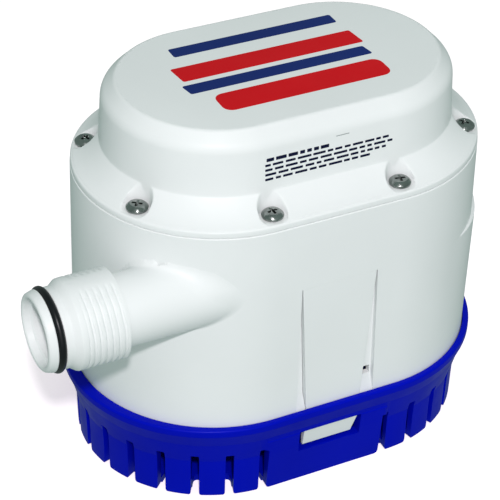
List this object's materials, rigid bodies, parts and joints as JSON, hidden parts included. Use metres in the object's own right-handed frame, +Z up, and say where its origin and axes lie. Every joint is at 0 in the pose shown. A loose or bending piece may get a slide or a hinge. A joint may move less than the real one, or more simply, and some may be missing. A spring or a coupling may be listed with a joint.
{
  "type": "bilge pump",
  "caption": "Oval automatic bilge pump with a slotted blue strainer base, a white housing and domed cover, and a threaded side discharge port.",
  "frame": {"origin": "middle of the oval plan, on the underside of the strainer base", "axes": "+X along the oval away from the discharge port, +Y across it to the rear wall with the cable gland, +Z up to the cover"},
  "size_m": [0.1859, 0.1174, 0.1477],
  "materials": {
    "white_plastic": "satin-gloss moulded white ABS, slightly cool",
    "blue_plastic": "satin moulded royal blue plastic",
    "black_rubber": "smooth moulded nitrile rubber",
    "stainless": "bright stainless steel",
    "plain_steel": "dull plated steel",
    "ferrite": "dark sintered ferrite",
    "copper": "enamelled copper",
    "bronze": "sintered bronze",
    "carbon": "dull pressed carbon",
    "black_plastic": "satin moulded black plastic",
    "float_foam": "dull closed-cell foam"
  },
  "bodies": {
    "pump": {"strainer_base": "blue_plastic", "pump_housing": "white_plastic", "discharge_port": "white_plastic", "discharge_o_ring": "black_rubber", "top_cover": "white_plastic", "cover_gasket": "black_rubber", "cover_screw_1": "stainless", "cover_screw_2": "stainless", "cover_screw_3": "stainless", "cover_screw_4": "stainless", "cover_screw_5": "stainless", "cover_screw_6": "stainless", "cover_screw_7": "stainless", "cover_screw_8": "stainless", "volute_body": "white_plastic", "inlet_plate": "white_plastic", "motor_pod": "white_plastic", "jacket_o_ring": "black_rubber", "shaft_seal": "black_rubber", "motor_can": "plain_steel", "field_magnet_1": "ferrite", "field_magnet_2": "ferrite", "lower_bearing": "bronze", "upper_bearing": "bronze", "motor_end_cap": "black_plastic", "brush_1": "carbon", "brush_2": "carbon", "brush_spring_1": "plain_steel", "brush_spring_2": "plain_steel", "inlet_plate_screw_1": "stainless", "inlet_plate_screw_2": "stainless", "inlet_plate_screw_3": "stainless", "inlet_plate_screw_4": "stainless", "float_pivot_pin": "stainless", "float_bulkhead": "white_plastic", "switch_body": "black_plastic", "cable_gland": "black_plastic", "gland_nut": "black_plastic", "gland_seal": "black_rubber"},
    "rotor": {"rotor_shaft": "stainless", "armature_core": "plain_steel", "lower_winding": "copper", "upper_winding": "copper", "commutator": "copper", "impeller": "black_plastic", "impeller_nut": "stainless"},
    "float": {"float": "float_foam"},
    "plunger": {"switch_plunger": "stainless"},
    "front_tongue": {"front_release_tongue": "white_plastic"},
    "rear_tongue": {"rear_release_tongue": "white_plastic"}
  },
  "joints": [
    {"name": "rotor_spin", "type": "hinge", "parent": "pump", "child": "rotor", "pos_m": [-0.0245, 0, 0.06], "axis": [0, 0, 1], "continuous": true},
    {"name": "float_lift", "type": "hinge", "parent": "pump", "child": "float", "pos_m": [0.028, 0, 0.044], "axis": [0, -1, 0], "range_deg": [0, 20]},
    {"name": "plunger_travel", "type": "slide", "parent": "pump", "child": "plunger", "axis": [0, 0, 1], "range_m": [0, 0.0045]},
    {"name": "front_tongue_press", "type": "hinge", "parent": "pump", "child": "front_tongue", "pos_m": [0, -0.05, 0.088], "axis": [1, 0, 0], "range_deg": [0, 2.5], "stiffness_Nm_per_rad": 20},
    {"name": "rear_tongue_press", "type": "hinge", "parent": "pump", "child": "rear_tongue", "pos_m": [0, 0.05, 0.088], "axis": [-1, 0, 0], "range_deg": [0, 2.5], "stiffness_Nm_per_rad": 20}
  ],
  "couplings": [
    {"joint": "plunger_travel", "follows": "float_lift", "m_per_rad": 0.0127}
  ]
}
